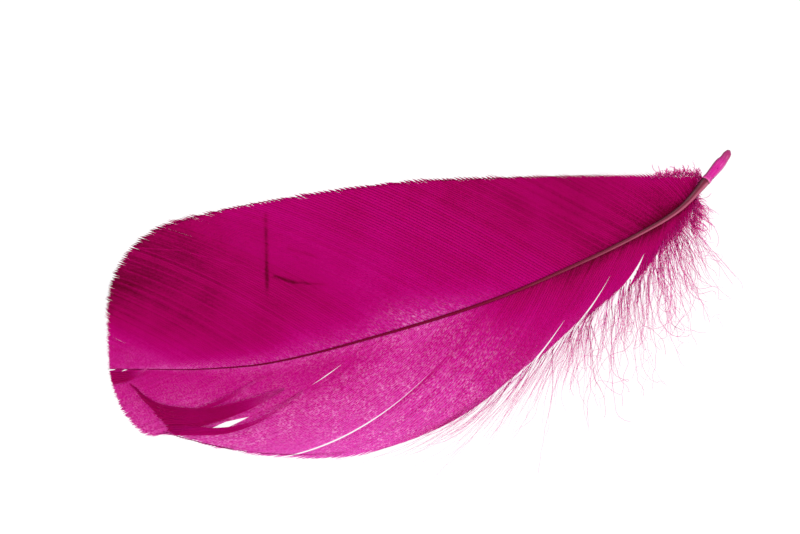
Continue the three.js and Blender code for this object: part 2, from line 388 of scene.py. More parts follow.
# Horn: dark wine towards the tip, mauve-brown near the quill with painted shade towards the wide vane and a
# painted tan highlight on the other side, then the ring and the clear pink quill with a few dark specks.
# Places along it are shares of the length.
horn = {
    "wine": linear(104, 0, 40), "paintedShade": linear(62, 0, 26), "mauve": linear(104, 14, 46),
    "paintedGleam": linear(172, 82, 110), "ring": linear(232, 80, 170), "quillCore": linear(206, 0, 146),
    "quillTip": linear(170, 52, 112), "quillPaintedRim": linear(206, 116, 170), "quillPaintedShade": linear(110, 0, 62),
    "speck": linear(96, 0, 52), "speckScale": 420.0, "browningFrom": 0.64, "browningTo": 0.92,
    "ringAt": 0.9526, "ringHalf": 0.0012, "ringEdge": 0.0008, "ringBend": 0.0022, "grooveAway": 2.2,
}


def makeHorn():
    material, tree = newShader("shaftHorn")
    along, turn, _ = split(read(tree, "ShaderNodeUVMap", uv_map="shaftUV"))
    angle = turn * 6.2832
    sine = angle.reckon("SINE")
    streak = noiseAt(combine(along * 14.0, sine, angle.reckon("COSINE")), 4.0, 3.0)
    # brown horn: darker towards the wide vane, partly its own colour and partly painted shade, with a painted
    # tan highlight towards the narrow one and a painted shadow line along that edge
    side = turn + (streak - 0.5) * 0.1
    brownWithPaintedLight = mixColor(remap(side, 0.08, 0.24), horn["paintedShade"], horn["mauve"])
    paintedGleam = remap(side, 0.24, 0.36) * remap(side, 0.41, 0.46, 1.0, 0.0)
    brownWithPaintedLight = mixColor(paintedGleam * 0.9, brownWithPaintedLight, horn["paintedGleam"])
    brownWithPaintedLight = mixColor(remap(side, 0.43, 0.47, 0.0, 0.8), brownWithPaintedLight, horn["paintedShade"])
    color = mixColor(remap(along, horn["browningFrom"], horn["browningTo"]), horn["wine"], brownWithPaintedLight)
    # the clear quill past the ring: saturated in the middle, with a pale painted highlight at its rim
    core = remap(side, 0.02, 0.1) * remap(side, 0.34, 0.45, 1.0, 0.0)
    clear = mixColor(core * remap(streak, 0.3, 0.6, 0.7, 1.0), horn["quillPaintedRim"], horn["quillCore"])
    clear = mixColor(remap(along, 0.978, 0.996, 0.0, 0.9), clear, horn["quillTip"])
    inputs = {"Vector": read(tree, "ShaderNodeTexCoord", output="Object"), "Scale": horn["speckScale"]}
    cells = read(tree, "ShaderNodeTexVoronoi", inputs, "Distance")
    clear = mixColor(remap(cells, 0.1, 0.17, 0.85, 0.0), clear, horn["speck"])
    # painted shade on the quill's side towards the wide vane
    clear = mixColor(remap(side, 0.05, 0.15, 0.85, 0.0), clear, horn["quillPaintedShade"])
    # the ring, and painted shade in the groove before it, a little askew
    ringAt, ringHalf, edge = horn["ringAt"], horn["ringHalf"], horn["ringEdge"]
    bend = along - sine * horn["ringBend"]
    quill = remap(bend, ringAt - edge, ringAt + edge)
    color = mixColor(quill, color, clear)
    ring = remap(abs(bend - ringAt), ringHalf * 0.5, ringHalf, 1.0, 0.0)
    color = mixColor(ring * 0.85, color, horn["ring"])
    shadedGroove = abs(bend - (ringAt - horn["grooveAway"] * ringHalf))
    color = mixColor(remap(shadedGroove, 0.0004, 0.0013, 0.6, 0.0), color, horn["paintedShade"])
    thinSurface(tree, mixValue(quill, 0.1, 0.4), gamma(color, 0.6), {
        "Base Color": color,
        "Roughness": remap(streak, 0.3, 0.7, 0.24, 0.42, "LINEAR"),
        "Normal": read(tree, "ShaderNodeBump", {"Height": streak, "Strength": 0.3, "Distance": 0.00015}),
        "Specular IOR Level": remap(along, 0.5, 0.85, 0.04, 0.3),
    })
    return material


shaft.data.materials.append(makeHorn())

# The vanes. Each barb row: root x on the shaft, the point that it bends round, its end on the
# outline.
vaneForm = {
    "columnStep": 1.3, "rows": 22, "guideReach": 1.32, "centerHeight": 0.36, "edgeDrop": 0.1,
    "lockStep": 5.2, "lockWave": 0.16, "lockDip": -0.1, "slitFade": 5.0, "slitOverlap": 0.12,
    "barbPitch": 0.77, "overlapFade": 1.6, "nearShaft": 0.16, "longestTaper": 0.4, "sampleStep": 0.05,
}
narrowBarbs = [
    (2.2, 1.1, -0.5, 0, -0.2), (13.5, 6, -4.8, -0.5, -5), (27, 13, -11.2, 0.2, -11.2),
    (43, 20, -17.4, 3, -16.8), (59.5, 33, -24.5, 8.8, -19.2), (72, 43, -29, 18, -25.6),
    (87.6, 57, -36, 30.5, -32.2), (98, 71, -39.5, 47, -37.6), (107, 84.5, -38.5, 66, -37.4),
    (116.1, 101, -26.5, 88.5, -32.8), (121.6, 114.5, -20.5, 101, -28.6),
    (128.4, 122.5, -19.5, 113.5, -24.6), (132.7, 127.8, -18, 121.5, -22.4),
    (137, 135.5, -14.5, 131.5, -18.6), (139.5, 140, -10, 138.6, -13.2),
]
wideBarbs = [
    (2.2, 1.1, -0.2, 0.1, 0.3), (13.5, 8, 1.8, 2.2, 7.7), (27, 15, 6.5, 5.2, 15.4),
    (43, 26, 11, 10.6, 22.4), (58.5, 37.5, 14.5, 20, 27), (73.5, 50, 14, 31, 26.8),
    (90.5, 69, 10, 52.5, 23.6), (105, 87.5, 7.5, 74, 19.4), (115, 101.5, 3, 88.4, 15.5),
    (125, 115, 0.5, 106, 10), (133, 128, -1, 122.5, 4.4), (138.5, 138.5, -4.2, 136.5, -0.2),
    (141.5, 143, -3.6, 142, -2),
]
# How closely the barbs stand along the shaft: closer where they fan out near the quill.
narrowPacking = [(2.2, 1.8), (25, 1.1), (112, 1), (128, 1.4), (134, 2.2), (139.5, 3.4)]
widePacking = [(2.2, 1.8), (30, 1.1), (105, 1), (125, 1.6), (135, 2.6), (141.5, 3.2)]
# Splits of the narrow vane: the root that each follows, its width at shares of the barb, and how
# much deeper the lock beyond it is made where it lies under its neighbour: painted shade of the doubled layer.
level = [(0, 0), (1, 0)]
slits = [
    (4.4, [(0, 0.1), (0.14, 0.4), (0.5, 0), (1, 0)], level),
    (7.8, [(0, 0.1), (0.14, 0.48), (0.4, 0), (1, 0)], level),
    (59.5, [(0.1, 0), (0.25, 0.38), (0.34, 0.16), (0.4, 0), (0.63, 0), (0.75, 1.6), (0.84, 0), (1, 0)],
     [(0.3, 0), (0.42, 0.2), (0.6, 0.2), (0.72, 0)]),
    (87.6, [(0.2, 0), (0.32, 0.2), (0.46, 0.28), (0.64, 0.46), (0.84, 0.48), (1, 0.3)],
     [(0.2, 0), (0.3, 0.45), (0.44, 0.4), (0.55, 0)]),
    (116.1, [(0.4, 0), (0.55, 0.3), (0.75, 0.5), (1, 0.9)], level),
    (121.6, [(0.16, 0), (0.35, 0.26), (0.65, 0.5), (1, 0.9)], level),
    (128.4, [(0.22, 0), (0.6, 1), (1, 2.1)], level),
    (132.7, [(0.3, 0), (0.6, 0.8), (1, 1.8)], level),
]
# Along each vane: where the web ends and how far bare barb ends go on, as shares of the barb, the
# length in mm over which a barb narrows there, and how deep the dye looks at the shaft, near it
# and at the edge. The tones at the shaft and near it hold painted light too: a paler painted sheen
# along the shaft's middle reach, and painted shade beside it near the quill.
narrowWeb = [
    (2.2, 0.985, 1.03, 0.5, 0.5, 0.6, 0.46), (18, 0.99, 1.012, 0.5, 0.44, 0.56, 0.42),
    (30, 0.995, 1.008, 0.5, 0.34, 0.5, 0.36), (42, 1, 1.002, 0.3, 0.28, 0.5, 0.26),
    (60, 1, 1.002, 0.3, 0.32, 0.54, 0.16), (75, 1, 1.002, 0.3, 0.24, 0.36, 0.02),
    (87, 0.99, 1.02, 0.8, 0.6, 0.4, -0.26), (97, 0.97, 1.04, 1, 0.9, 0.52, -0.22),
    (105, 0.95, 1.06, 1.2, 0.92, 0.64, 0), (112, 0.9, 1.1, 2.2, 1, 0.76, 0.2),
    (120, 0.88, 1.1, 2.6, 1.04, 0.82, 0.42), (130, 0.8, 1.08, 3, 1.06, 0.86, 0.5),
    (133, 0.6, 1, 4.5, 1.06, 0.84, 0.42), (139.5, 0.5, 1, 3.4, 1.05, 0.8, 0.36),
]
wideWeb = [
    (2.2, 0.97, 1.03, 0.5, 0.36, 0.44, 0.46), (13, 0.985, 1.02, 0.5, 0.3, 0.5, 0.6),
    (22, 0.99, 1.02, 0.5, 0.36, 0.7, 0.92), (35, 1, 1.01, 0.4, 0.42, 0.8, 0.98),
    (60, 1, 1.004, 0.8, 0.42, 0.78, 0.86), (72, 1, 1.004, 1.2, 0.28, 0.64, 0.78),
    (84, 1, 1.004, 1.4, 0.48, 0.7, 0.7), (95, 1, 1.004, 1.4, 0.62, 0.76, 0.72),
    (110, 1, 1.004, 1.4, 0.84, 0.8, 0.82), (128, 0.99, 1.03, 1.2, 1, 0.88, 0.86),
    (141.5, 0.97, 1.1, 1.6, 1.1, 0.96, 0.7),
]


def packed(packing, root):
    # how many barb steps lie between the vane's tip and a root
    steps = 0.0
    for (a, dense), (b, denser) in zip(packing, packing[1:]):
        part = min(max(root, a), b) - a
        steps += part * (dense + (denser - dense) * part / (b - a) / 2)
    return steps


def vanePoint(barbs, openings, turn, panel, root, share):
    # where a barb is at a share of its length, moved aside by the slits next to it
    form, inner = vaneForm, min(share, 1.0)
    route = (root, shaftY(root), *between(barbs, root))
    x, y = bent(route, share)
    x2, y2 = bent(route, share + 0.01)
    along = Vector((x2 - x, y2 - y)).normalized()
    quillward = Vector((-along.y, along.x)) * turn
    for k, (slitRoot, gape, overlap) in enumerate(openings):
        near = max(0.0, 1 - abs(root - slitRoot) / form["slitFade"])
        aside = (straight(gape, inner)[0] - form["slitOverlap"]) * near / 2
        x += quillward.x * (aside if panel > k else -aside)
        y += quillward.y * (aside if panel > k else -aside)
    lock = math.sin(2 * math.pi * root / form["lockStep"]) * form["lockWave"] * inner
    z = lift(x, y) + form["centerHeight"] - form["edgeDrop"] * inner + max(lock, form["lockDip"])
    return toFrame(x, y, z)


def setAttribute(mesh, name, values, kind="FLOAT", field="value"):
    attribute = mesh.attributes.new(name, kind, "POINT")
    for item, value in zip(attribute.data, values):
        setattr(item, field, value)


def spreadAt(placeAt, at, inner, beside, share):
    # a place on a sheet, and how far apart the places on both sides of a barb are there
    here = placeAt(at, share)
    ahead = (placeAt(at, share + 0.02) - here).normalized()
    aside = placeAt(inner + beside, share) - placeAt(inner - beside, share)
    return here, (aside - ahead * aside.dot(ahead)).length


def guideSheet(name, columns, cells):
    # a bare sheet that barbs are laid on: columns of cells, in panels that don't touch
    mesh, rows = bpy.data.meshes.new(name), vaneForm["rows"]
    points, forms, tones, tapers = zip(*cells)
    faces, uvs = [], []
    for c in range(len(columns) - 1):
        if columns[c][0] != columns[c + 1][0]:
            continue
        for r in range(rows - 1):
            corner = [(c, r), (c + 1, r), (c + 1, r + 1), (c, r + 1)]
            faces.append([a * rows + b for a, b in corner])
            uvs += [(columns[a][1], b / (rows - 1)) for a, b in corner]
    mesh.from_pydata(points, [], faces)
    setUVs(mesh, "sheetUV", uvs)
    setAttribute(mesh, "form", forms, "FLOAT_VECTOR", "vector")
    setAttribute(mesh, "tone", tones)
    setAttribute(mesh, "taper", tapers)
    mesh.shade_smooth()
    return mesh


def vaneGuide(name, barbs, packing, openings, turn, web):
    first, last = barbs[0][0], barbs[-1][0]
    ends = [first] + [slit[0] for slit in openings] + [last]
    rows, whole, beside = vaneForm["rows"], packed(packing, last), vaneForm["sampleStep"]
    columns, cells = [], []
    for panel, (low, high) in enumerate(zip(ends, ends[1:])):
        count = max(3, math.ceil((high - low) / vaneForm["columnStep"]))

        def placeAt(root, share):
            return vanePoint(barbs, openings, turn, panel, root, share)

        for c in range(count + 1):
            root = low + (high - low) * c / count
            columns.append((panel, packed(packing, root) / whole))
            webShare, reach, taper, *depths = straight(web, root)
            depthRows = list(zip((0, vaneForm["nearShaft"], 1), depths))
            length = math.dist((root, shaftY(root)), between(barbs, root)[2:])
            inner = min(max(root, low + beside), high - beside)
            step = (packed(packing, inner + beside) - packed(packing, inner - beside)) / whole
            for r in range(rows):
                share = vaneForm["guideReach"] * r / (rows - 1)
                here, apart = spreadAt(placeAt, root, inner, beside, share)
                # the dye's depth, with the painted sheen and painted shade by the shaft
                tone = straight(depthRows, share)[0]
                # painted shade where the lock beyond a slit lies doubled with its neighbour
                for k, (slitRoot, gape, overlap) in enumerate(openings):
                    near = max(0.0, 1 - abs(root - slitRoot) / vaneForm["overlapFade"])
                    tone += straight(overlap, share)[0] * near * (panel > k)
                shortened = min(vaneForm["longestTaper"], taper / length)
                cells.append((here, (apart / step, webShare, reach), tone, shortened))
    return guideSheet(name, columns, cells)


def capture(geometry, domain, *values):
    # keeps each value on the geometry as it is here; gives the geometry and the kept values
    tree, kinds = geometry.tree, {"VALUE": "FLOAT", "INT": "INT", "VECTOR": "VECTOR"}
    node = addNode(tree, "GeometryNodeCaptureAttribute", {0: geometry}, domain=domain)
    for i, value in enumerate(values):
        node.capture_items.new(kinds[value.socket.type], "kept" + str(i))
        tree.links.new(value.socket, node.inputs[1 + i])
    return [Output(tree, node.outputs[i]) for i in range(1 + len(values))]


def named(tree, name, kind="FLOAT"):
    return read(tree, "GeometryNodeInputNamedAttribute", {"Name": name}, data_type=kind)


def randomValue(low, high, item, seed):
    inputs = {2: low, 3: high, 7: item, 8: seed}
    return read(item.tree, "FunctionNodeRandomValue", inputs, 1, data_type="FLOAT")


def finishTree(given, solid, kept):
    # stores what the dye reads, vectors as UV maps and numbers at the points, and ends the tree
    for name, value in kept.items():
        kind, domain = ("FLOAT2", "CORNER") if value.isVector else ("FLOAT", "POINT")
        inputs = {"Name": name, "Value": value}
        solid = alter(solid, "StoreNamedAttribute", inputs, data_type=kind, domain=domain)
    solid = alter(alter(solid, "RealizeInstances"), "SetMaterial", {"Material": given["Material"]})
    addNode(solid.tree, "NodeGroupOutput", {0: solid})
    return solid.tree


def newTree(name, counts, floats):
    inputs = {"Geometry": ["Geometry"], "Int": counts, "Float": floats, "Material": ["Material"]}
    return newGroup(name, "GeometryNodeTree", inputs, {"Geometry": ["Geometry"]})


def barbTree():
    tree, given = newTree("barbsOnSheet", ["Barb Count", "Steps", "Seed"], [
        "Fullness", "Ridge Height", "Hair Radius", "Unevenness", "Raggedness", "Looseness", "Guide Reach",
    ])
    count, seed = given["Barb Count"], given["Seed"]
    line = read(tree, "GeometryNodeCurvePrimitiveLine")
    line = alter(line, "ResampleCurve", {"Count": given["Steps"]})
    inputs = {"Geometry": line, "Amount": count}
    copies, number = addNode(tree, "GeometryNodeDuplicateElements", inputs, domain="SPLINE").outputs
    barbs, index = capture(Output(tree, copies), "CURVE", Output(tree, number))
    barbs, factor = capture(barbs, "POINT", read(tree, "GeometryNodeSplineParameter", output="Factor"))

    def chance(low, high, draw):
        return randomValue(low, high, index, seed + draw)

    def onSheet(value, row):
        # a value of the sheet at this barb's place along the shaft and a row across the vane
        inputs = {"Value": value, "Sample UV": combine(place, row, 0.0)}
        inputs["UV Map"] = named(tree, "sheetUV", "FLOAT_VECTOR")
        kind = "FLOAT_VECTOR" if value.isVector else "FLOAT"
        return alter(given["Geometry"], "SampleUVSurface", inputs, data_type=kind)

    # the barb's place along the shaft, and how far it reaches
    here = read(tree, "GeometryNodeInputPosition")
    place = (index + 0.5 + chance(-0.5, 0.5, 1) * given["Unevenness"]) / count
    form = named(tree, "form", "FLOAT_VECTOR")
    _, webShare, reachShare = split(onSheet(form, 0.05))
    taper = onSheet(named(tree, "taper"), 0.05)
    webEnd = webShare + chance(-1.0, 1.0, 2) * given["Raggedness"]
    reach = webEnd + ((reachShare - webShare) * chance(0.0, 1.0, 3)).reckon("MAXIMUM", 0.004)
    share = factor * reach
    row = (share / given["Guide Reach"]).reckon("MAXIMUM", 0.0005).reckon("MINIMUM", 0.9995)
    position = onSheet(here, row)
    normal = onSheet(read(tree, "GeometryNodeInputNormal"), row)
    tone = onSheet(named(tree, "tone"), row)
    spread = split(onSheet(form, row))[0]

    # free ends stray from the sheet, more towards their tips
    free = remap(share, webEnd - 0.06, reach + 0.01)
    drift = noiseAt(combine(index * 0.37, share * 4.0, seed), 1.0, 1.0, "Color") - (0.5, 0.5, 0.45)
    position = position + drift * (free * given["Looseness"] + share * 0.00012)
    barbs = alter(barbs, "SetPosition", {"Position": position})

    inWeb = remap(share, webEnd - taper, webEnd + 0.003, 1.0, 0.0)
    hair = given["Hair Radius"] * remap(factor, 0.8, 1.0, 1.0, 0.25, "LINEAR")
    halfWidth = mixValue(inWeb, hair, spread * given["Fullness"] / (count * 2.0))
    ridge = given["Ridge Height"] * remap(share, 0.0, 1.0, 1.0, 0.5, "LINEAR")
    halfDepth = mixValue(inWeb, hair, ridge)
    aside = normal.reckon("CROSS_PRODUCT", read(tree, "GeometryNodeInputTangent")).reckon("NORMALIZE")
    barbs, center, aside, normal, halfWidth, halfDepth, tone, tint, share = capture(
        barbs, "POINT", here, aside, normal, halfWidth, halfDepth, tone, chance(0.0, 1.0, 4), share,
    )

    # the section: a flat web on both sides of a low rib
    rim = read(tree, "GeometryNodeCurvePrimitiveCircle", {"Resolution": 6, "Radius": 1.0})
    rim, rimPlace = capture(rim, "POINT", here)
    solid = alter(barbs, "CurveToMesh", {"Profile Curve": rim, "Fill Caps": True})
    rimX, rimY, _ = split(rimPlace)
    across = rimX.reckon("SIGN") * abs(rimX) ** 2.2
    skin = center + (aside * (across * halfWidth) + normal * (rimY * halfDepth))
    solid = alter(alter(solid, "SetPosition", {"Position": skin}), "SetShadeSmooth")
    lane = (index + across.reckon("MULTIPLY_ADD", 0.4, 0.5)) / count
    return finishTree(given, solid, {
        "barbUV": combine(across.reckon("MULTIPLY_ADD", 0.5, 0.5), share, 0.0),
        "OFBake": combine(lane, factor, 0.0),
        "tone": tone,
        "tint": tint,
    })


def grow(name, guideMesh, tree, values):
    # runs a node tree on a guide and keeps what it makes as a plain mesh
    carrier = newObject(name + "Guide", guideMesh)
    modifier = carrier.modifiers.new(name, "NODES")
    modifier.node_group = tree
    sockets = [item for item in tree.interface.items_tree if item.in_out == "INPUT"]
    identifiers = {item.name: item.identifier for item in sockets}
    for label, value in values.items():
        if label in identifiers:
            modifier[identifiers[label]] = value
    evaluated = carrier.evaluated_get(bpy.context.evaluated_depsgraph_get())
    mesh = bpy.data.meshes.new_from_object(evaluated)
    mesh.name = name
    bpy.data.objects.remove(carrier)
    if not mesh.materials:
        mesh.materials.append(values["Material"])
    faceOut(mesh)
    return newObject(name, mesh)


# What the dye does to the horn: deeper where the feather is dense, paler at thin edges.
dye = {
    "thin": linear(246, 48, 156), "paintedGlint": linear(255, 186, 232), "palest": linear(232, 92, 196),
    "pale": linear(212, 34, 160), "deep": linear(194, 0, 126), "deeper": linear(174, 0, 95),
    "darkest": linear(112, 0, 42),
}
# Scales are per metre of the feather, or per barb for the painted glints; depths are added to the tone.
grain = {
    "cloudScale": 90.0, "cloudDepth": 0.24, "tintDepth": 0.08, "fineScale": 1900.0, "patchScale": 240.0,
    "glintAside": 900.0, "glintAlong": 84.0, "glintAcross": 2.4, "barbulesAlong": 400.0,
    "barbulesAcross": 14.0, "barbuleHeight": 0.35,
}


def dyeGroup():
    tree, given = newGroup(
        "dyedBarb", "ShaderNodeTree",
        {"Float": ["Tone", "Tint", "Across", "Along", "Thinness"], "Vector": ["Place"]},
        {"Color": ["Color", "Light Through"], "Float": ["Roughness", "Height"]},
    )
    tone, tint, across, along, thinness, place = (
        given[name] for name in ("Tone", "Tint", "Across", "Along", "Thinness", "Place")
    )
    fine = noiseAt(place, grain["fineScale"], 2.0)
    rib = remap(abs(across - 0.5), 0.02, 0.3, 1.0, 0.0)
    depth = tone + (noiseAt(place, grain["cloudScale"], 3.0) - 0.5) * grain["cloudDepth"]
    depth = depth + (tint - 0.5) * grain["tintDepth"]
    depth = depth + (fine - 0.5) * remap(tone, 0.2, 0.8, 0.9, 0.15)
    depth = depth + (rib - 0.35) * remap(tone, 0.15, 0.85, 0.66, 0.06)
    ramp = addNode(tree, "ShaderNodeValToRGB", {0: depth})
    stops = ramp.color_ramp.elements
    stops[0].position, stops[0].color = 0.0, dye["palest"]
    stops[1].position, stops[1].color = 1.05, dye["darkest"]
    for position, name in ((0.3, "pale"), (0.62, "deep"), (0.85, "deeper")):
        stops.new(position).color = dye[name]
    # painted light: pale glints along the barbs, in patches, for sheen and the glow showing through tiny gaps
    lane = combine(
        tint * grain["glintAside"], along * grain["glintAlong"], across * grain["glintAcross"])
    patch = remap(noiseAt(place, grain["patchScale"], 2.0), 0.38, 0.62, 0.35, 0.9)
    paintedGlint = remap(noiseAt(lane, 1.0, 2.0), 0.5, 0.64) * patch * remap(tone, 0.2, 0.64, 0.66, 0.0)
    color = mixColor(paintedGlint, Output(tree, ramp.outputs[0]), dye["paintedGlint"])
    color = mixColor(thinness, color, dye["thin"])
    wave = along * grain["barbulesAlong"] + abs(across - 0.5) * grain["barbulesAcross"]
    addNode(tree, "NodeGroupOutput", {
        "Color": color,
        "Light Through": gamma(color, 0.5),
        "Roughness": remap(fine, 0.3, 0.7, 0.42, 0.6, "LINEAR"),
        "Height": (wave * 1.6).reckon("SINE") * grain["barbuleHeight"] + rib,
    })
    return tree


def stored(tree, name, output="Fac"):
    return read(tree, "ShaderNodeAttribute", output=output, attribute_name=name)


dyedBarb = dyeGroup()

# Lines of painted shade across the wide vane, and two of painted light where the depth is below
# nought: the plan places of both ends, half the width in mm, and how much deeper the tone is made there.
paintedShadeLines = [
    ((46.5, 23.6), (39.2, 2.2), 0.85, 0.17), ((42.2, 8), (47.4, 4.3), 0.7, 0.16),
    ((45.6, 5.2), (54.4, 1.4), 0.6, 0.12), ((47.2, 13.2), (54.8, 7.5), 0.7, 0.1),
    ((15.2, 24.3), (26.4, 19.5), 0.2, -0.1), ((24.4, 20.4), (40.5, 9.8), 0.2, -0.1),
]



def lineGroup():
    tree, given = newGroup(
        "paintedShadeLine", "ShaderNodeTree",
        {"Vector": ["Place", "Start", "Ahead", "Aside"], "Float": ["Depth"]}, {"Float": ["Tone"]},
    )
    here = given["Place"] - given["Start"]
    share = here.reckon("DOT_PRODUCT", given["Ahead"], output="Value")
    away = abs(here.reckon("DOT_PRODUCT", given["Aside"], output="Value"))
    ends = remap(share, 0.0, 0.15) * remap(share, 0.75, 1.0, 1.0, 0.0)
    addNode(tree, "NodeGroupOutput", {"Tone": ends * remap(away, 0.0, 1.0, 1.0, 0.0) * given["Depth"]})
    return tree


paintedShadeLine = lineGroup()


def pressed(place, tone):
    # the tone with the painted shade and painted light lines added
    for start, end, halfWidth, depth in paintedShadeLines:
        here, there = toFrame(*start, 0), toFrame(*end, 0)
        ahead = there - here
        aside = Vector((-ahead.y, ahead.x, 0.0)).normalized() / (halfWidth * plan["metresPerMm"])
        inputs = {"Place": place, "Start": here, "Aside": aside, "Depth": depth}
        inputs["Ahead"] = ahead / ahead.length_squared
        tone = tone + read(place.tree, "ShaderNodeGroup", inputs, "Tone", node_tree=paintedShadeLine)
    return tone


def barbMaterial(name, throughShare, clearness, rootThinness, tipThinness):
    material, tree = newShader(name)
    across, along, _ = split(stored(tree, "barbUV", "Vector"))
    place = read(tree, "ShaderNodeTexCoord", output="Object")
    group = addNode(tree, "ShaderNodeGroup", {
        "Tone": pressed(place, stored(tree, "tone")),
        "Tint": stored(tree, "tint"),
        "Across": across,
        "Along": along,
        "Thinness": remap(along, 0.0, 0.7, rootThinness, tipThinness),
        "Place": place,
    }, node_tree=dyedBarb)
    color, passing, roughness, height = (Output(tree, socket) for socket in group.outputs)
    thinSurface(tree, throughShare, gamma(passing, clearness), {
        "Base Color": color,
        "Roughness": roughness,
        "Normal": read(tree, "ShaderNodeBump", {"Height": height, "Strength": 0.25, "Distance": 0.00003}),
        "Specular IOR Level": 0.06,
    })
    return material


vaneMaterial = barbMaterial("dyedVane", 0.65, 1.0, 0.0, 0.0)

print("vane barbs")
barbs = barbTree()
vaneValues = {
    "Steps": 36, "Fullness": 1.16, "Ridge Height": 0.0001, "Hair Radius": 0.00004, "Unevenness": 0.14,
    "Raggedness": 0.0016, "Looseness": 0.0012, "Guide Reach": vaneForm["guideReach"],
    "Material": vaneMaterial,
}
narrowValues = {**vaneValues, "Fullness": 1.24, "Seed": 11}
wideValues = {**vaneValues, "Ridge Height": 0.00003, "Fullness": 1.06, "Unevenness": 0.012, "Seed": 23}


def growVane(name, rows, packing, openings, turn, web, values):
    guide = vaneGuide(name + "Sheet", rows, packing, openings, turn, web)
    count = round(packed(packing, rows[-1][0]) / vaneForm["barbPitch"])
    return grow(name, guide, barbs, {**values, "Barb Count": count})


narrowVane = growVane("narrowVane", narrowBarbs, narrowPacking, slits, 1, narrowWeb, narrowValues)
wideVane = growVane("wideVane", wideBarbs, widePacking, [], -1, wideWeb, wideValues)

# Locks that have slipped over their neighbours: each spreads between two edges.
print("slipped locks")
slippedForm = {
    "rise": 0.72, "center": 0.2, "riseFrom": 0.4, "riseBy": 2.0, "columns": 6, "reach": 1.01, "past": 10,
    "rootTone": 0.34, "toneBy": 0.62, "taper": 0.02, "raggedness": 0.012, "sampleStep": 0.02,
}
# Each lock: shares of its length with the plan places of its lower and upper edge, its barbs and
# its tone, deep as painted shade where the lock lies doubled over the vane.
slippedLocks = [
    ([
        (0, 36.1, -17.9, 36.5, -17.4), (0.3, 28.7, -19.3, 30.3, -17.2), (0.5, 24.2, -19.6, 21.8, -16.5),
        (0.7, 17.6, -19.5, 16, -15.1), (0.88, 12.7, -19.1, 7.6, -10.6), (1, 8.8, -18.9, 3.4, -4),
    ], 16, 0.8),
    ([
        (0, 30.7, -14, 31.4, -13.4), (0.3, 25.1, -15.5, 24.4, -14.8), (0.5, 18.6, -16, 17.4, -15.2),
        (0.7, 13.6, -15, 13.2, -14.2), (0.88, 6.9, -10.7, 6.4, -9.4), (1, 3.6, -4.8, 3.3, -4),
    ], 4, 0.74),
    ([
        (0, 40.1, -19.8, 40.5, -19.3), (0.25, 29.6, -22.8, 29.5, -22), (0.5, 22.9, -23.1, 22.8, -21.8),
        (0.7, 18.2, -22.3, 17.6, -20.4), (0.85, 13.8, -20.8, 13.1, -18.3), (1, 8.8, -19.1, 8.2, -16.7),
    ], 6, 0.7),
    ([(0, 8.2, -3, 8.5, -2.7), (0.5, 3.9, -3.9, 4.3, -2.1), (1, 0.1, -3.5, 0.2, -0.6)], 5, 0.78),
]


def slippedGuide(name, edges, tone):
    form, rows, beside = slippedForm, vaneForm["rows"], slippedForm["sampleStep"]
    columns, cells = [], []

    def placeAt(across, share):
        x1, y1, x2, y2 = between(edges, share)
        x, y = mix(x1, x2, across) - max(0.0, share - 1) * form["past"], mix(y1, y2, across)
        climb = min(1.0, form["riseFrom"] + form["riseBy"] * share)
        return toFrame(x, y, lift(x, y) + form["rise"] * climb + form["center"])

    for c in range(form["columns"] + 1):
        across = c / form["columns"]
        columns.append((0, across))
        inner = min(max(across, beside), 1 - beside)
        for r in range(rows):
            share = vaneForm["guideReach"] * r / (rows - 1)
            here, apart = spreadAt(placeAt, across, inner, beside, share)
            # the tone deepens from the root: painted shade of the doubled layer
            toneHere = mix(form["rootTone"], tone, smoothStep(0.0, form["toneBy"], share))
            cells.append((here, (apart / (2 * beside), 1.0, form["reach"]), toneHere, form["taper"]))
    return guideSheet(name, columns, cells)


lockPieces = []
for number, (edges, count, tone) in enumerate(slippedLocks):
    guide = slippedGuide("lockGuide" + str(number), edges, tone)
    values = {**vaneValues, "Barb Count": count, "Seed": 31 + number, "Raggedness": slippedForm["raggedness"]}
    lockPieces.append(grow("slippedLock" + str(number + 1), guide, barbs, values))

# The down: strands go on from the narrow vane's edge. Each row: start, bend and tip.
print("down")
downStrands = [
    (139.3, -7.6, 141.6, -10.5, 141.2, -14), (137.9, -9, 140.2, -14.2, 139.5, -21.6),
    (136, -10.3, 138.4, -18.1, 138.6, -27.9), (134.5, -10.5, 134.4, -21.7, 140.3, -30.4),
    (133.5, -11.9, 133.1, -22.6, 131.1, -34), (131.9, -12.5, 130.5, -26.2, 127, -38.7),
    (130, -13.8, 127, -27.7, 123.6, -45.5), (128.6, -15, 125.4, -26.8, 120.9, -42.4),
    (127.1, -15.7, 122.6, -28.6, 119, -36.7), (125.7, -16.4, 120.3, -27.5, 113.9, -43),
    (123.2, -17.9, 117.8, -29, 108.4, -44.8), (118.2, -21, 112.9, -30.2, 103.8, -45.7),
    (115.3, -21.7, 107.3, -30.1, 100.6, -46.3), (108.4, -24.1, 103.7, -31.5, 97.1, -44.2),
]
edgeStrands = [
    (111.9, -23.2, 101.3, -31.2, 92.3, -46), (108.4, -24.1, 99.7, -31.5, 91.1, -46.2),
    (104.8, -26, 95.3, -33.6, 86.4, -46.6), (101.1, -27.6, 92.8, -34.9, 80.6, -46.6),
    (96.9, -29.3, 88.4, -37.6, 76.6, -46.7), (92.7, -30.7, 82.4, -41.2, 69, -46.8),
    (88.5, -32.4, 76, -42.6, 62.4, -45.5), (83.2, -33.7, 71.9, -42.9, 56.5, -43.3),
    (77.9, -34.9, 66.8, -41.4, 50.5, -40.9), (71.4, -36.3, 61.8, -40, 45.6, -38.6),
]
